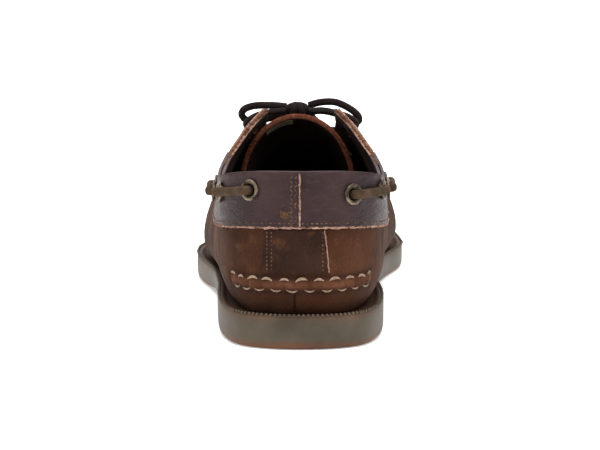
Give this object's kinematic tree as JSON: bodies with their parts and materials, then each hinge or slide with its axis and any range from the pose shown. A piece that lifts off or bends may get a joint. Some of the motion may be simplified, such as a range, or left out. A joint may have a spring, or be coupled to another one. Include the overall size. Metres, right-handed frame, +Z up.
{
  "type": "boat shoe",
  "caption": "Left moccasin-style boat shoe: hollow leather upper with laced collar, tongue and bow on a moulded rubber sole.",
  "frame": {"origin": "centre of the bounding box's base, on the floor that the sole stands on", "axes": "+Z up, +Y from heel to toe, +X to the medial side"},
  "size_m": [0.108, 0.295, 0.0979],
  "materials": {
    "outsole_rubber": "moulded taupe rubber with amber tread and ledge",
    "upper_leather": "oiled brown nubuck",
    "collar_leather": "smooth dark plum brown leather",
    "lining_leather": "dark matte lining",
    "eyelet_metal": "aged dull brass",
    "lace_rawhide": "fuzzy dark rawhide"
  },
  "bodies": {
    "root": {"outsole": "outsole_rubber", "insole": "lining_leather", "upper": "upper_leather", "collar": "collar_leather", "eyestay_lateral": "upper_leather", "eyestay_medial": "upper_leather", "heel_strip": "upper_leather", "tongue": "upper_leather", "eyelet_lateral_side_1": "eyelet_metal", "eyelet_lateral_side_2": "eyelet_metal", "eyelet_lateral_side_3": "eyelet_metal", "eyelet_lateral_side_4": "eyelet_metal", "eyelet_lateral_tab_rear": "eyelet_metal", "eyelet_lateral_tab_front": "eyelet_metal", "eyelet_medial_side_1": "eyelet_metal", "eyelet_medial_side_2": "eyelet_metal", "eyelet_medial_side_3": "eyelet_metal", "eyelet_medial_side_4": "eyelet_metal", "eyelet_medial_tab_rear": "eyelet_metal", "eyelet_medial_tab_front": "eyelet_metal", "lace_lateral_side_1": "lace_rawhide", "lace_lateral_side_3": "lace_rawhide", "lace_medial_side_1": "lace_rawhide", "lace_medial_side_3": "lace_rawhide", "lace_bar_front": "lace_rawhide", "lace_strand_lateral": "lace_rawhide", "lace_strand_medial": "lace_rawhide", "lace_knot": "lace_rawhide", "lace_loop_lateral": "lace_rawhide", "lace_loop_medial": "lace_rawhide", "lace_end_lateral": "lace_rawhide", "lace_end_medial": "lace_rawhide"}
  },
  "joints": []
}
